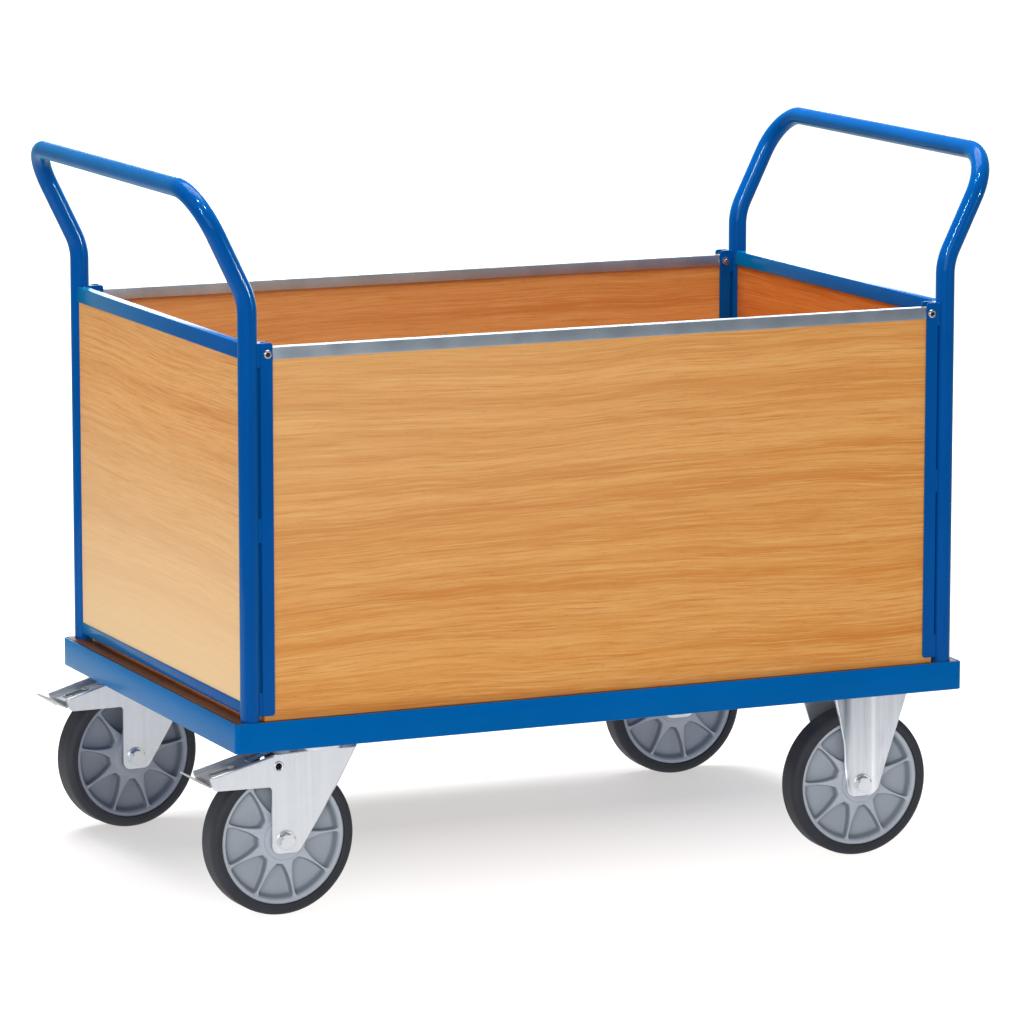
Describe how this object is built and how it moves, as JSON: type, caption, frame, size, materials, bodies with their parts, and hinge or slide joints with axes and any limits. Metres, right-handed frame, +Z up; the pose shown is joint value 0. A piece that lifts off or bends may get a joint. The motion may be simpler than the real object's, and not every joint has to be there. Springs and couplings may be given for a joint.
{
  "type": "four-sided platform trolley",
  "caption": "Platform trolley with a walled load bed of wood panels, a bent tube push handle at each end, braked swivel castors at one end and fixed castors at the other.",
  "frame": {"origin": "on the floor under the middle of the platform", "axes": "+X along the platform towards the fixed castors, +Y across towards the rear long side, +Z up"},
  "size_m": [1.1506, 0.65, 0.9475],
  "materials": {
    "blue_paint": "satin powder coat",
    "beech_board": "satin beech decor",
    "deck_board": "satin brown board",
    "galvanised": "galvanised",
    "zinc": "bright zinc plate",
    "brake_rubber": "matt",
    "hub_plastic": "matt grey",
    "tyre": "matt dark grey"
  },
  "bodies": {
    "chassis": {"platform_rim": "blue_paint", "swivel_end_member": "blue_paint", "fixed_end_member": "blue_paint", "left_handle_tube": "blue_paint", "right_handle_tube": "blue_paint", "left_top_rail": "blue_paint", "right_top_rail": "blue_paint", "left_bottom_rail": "blue_paint", "right_bottom_rail": "blue_paint", "front_left_channel": "blue_paint", "front_right_channel": "blue_paint", "rear_left_channel": "blue_paint", "rear_right_channel": "blue_paint", "deck_board": "deck_board", "left_end_panel": "beech_board", "right_end_panel": "beech_board", "front_side_panel": "beech_board", "rear_side_panel": "beech_board", "front_top_trim": "galvanised", "rear_top_trim": "galvanised", "deck_screws": "zinc", "post_foot_bolts": "zinc", "panel_screws": "zinc", "castor_bolts": "zinc", "king_pins": "zinc", "front_swivel_plate": "zinc", "rear_swivel_plate": "zinc", "front_fixed_fork": "zinc", "rear_fixed_fork": "zinc", "fixed_axles": "zinc", "fixed_sleeves": "zinc"},
    "front_swivel": {"front_swivel_fork": "zinc", "front_swivel_balls": "zinc", "front_swivel_axle": "zinc", "front_swivel_sleeve": "zinc", "front_brake_rivets": "zinc", "front_brake_spring": "zinc"},
    "front_brake": {"front_brake_pedal": "zinc", "front_brake_shoe": "brake_rubber"},
    "front_swivel_wheel": {"front_left_hub": "hub_plastic", "front_left_tyre": "tyre", "front_left_rollers": "zinc"},
    "front_fixed_wheel": {"front_right_hub": "hub_plastic", "front_right_tyre": "tyre", "front_right_rollers": "zinc"},
    "rear_swivel": {"rear_swivel_fork": "zinc", "rear_swivel_balls": "zinc", "rear_swivel_axle": "zinc", "rear_swivel_sleeve": "zinc", "rear_brake_rivets": "zinc", "rear_brake_spring": "zinc"},
    "rear_brake": {"rear_brake_pedal": "zinc", "rear_brake_shoe": "brake_rubber"},
    "rear_swivel_wheel": {"rear_left_hub": "hub_plastic", "rear_left_tyre": "tyre", "rear_left_rollers": "zinc"},
    "rear_fixed_wheel": {"rear_right_hub": "hub_plastic", "rear_right_tyre": "tyre", "rear_right_rollers": "zinc"}
  },
  "joints": [
    {"name": "front_swivel_turn", "type": "hinge", "parent": "chassis", "child": "front_swivel", "pos_m": [-0.3945, -0.281, 0.222], "axis": [0, 0, 1], "continuous": true},
    {"name": "front_swivel_wheel_roll", "type": "hinge", "parent": "front_swivel", "child": "front_swivel_wheel", "pos_m": [-0.44843, -0.28383, 0.1], "axis": [-0.0523, 0.9986, 0], "continuous": true},
    {"name": "front_fixed_wheel_roll", "type": "hinge", "parent": "chassis", "child": "front_fixed_wheel", "pos_m": [0.381, -0.281, 0.1], "axis": [0, 1, 0], "continuous": true},
    {"name": "front_brake_press", "type": "hinge", "parent": "front_swivel", "child": "front_brake", "pos_m": [-0.45841, -0.28435, 0.197], "axis": [0.0523, -0.9986, 0], "range_deg": [0, 5]},
    {"name": "rear_swivel_turn", "type": "hinge", "parent": "chassis", "child": "rear_swivel", "pos_m": [-0.3945, 0.281, 0.222], "axis": [0, 0, 1], "continuous": true},
    {"name": "rear_swivel_wheel_roll", "type": "hinge", "parent": "rear_swivel", "child": "rear_swivel_wheel", "pos_m": [-0.44797, 0.27348, 0.1], "axis": [-0.1392, 0.9903, 0], "continuous": true},
    {"name": "rear_fixed_wheel_roll", "type": "hinge", "parent": "chassis", "child": "rear_fixed_wheel", "pos_m": [0.381, 0.281, 0.1], "axis": [0, 1, 0], "continuous": true},
    {"name": "rear_brake_press", "type": "hinge", "parent": "rear_swivel", "child": "rear_brake", "pos_m": [-0.45788, 0.27209, 0.197], "axis": [0.1392, -0.9903, 0], "range_deg": [0, 5]}
  ]
}
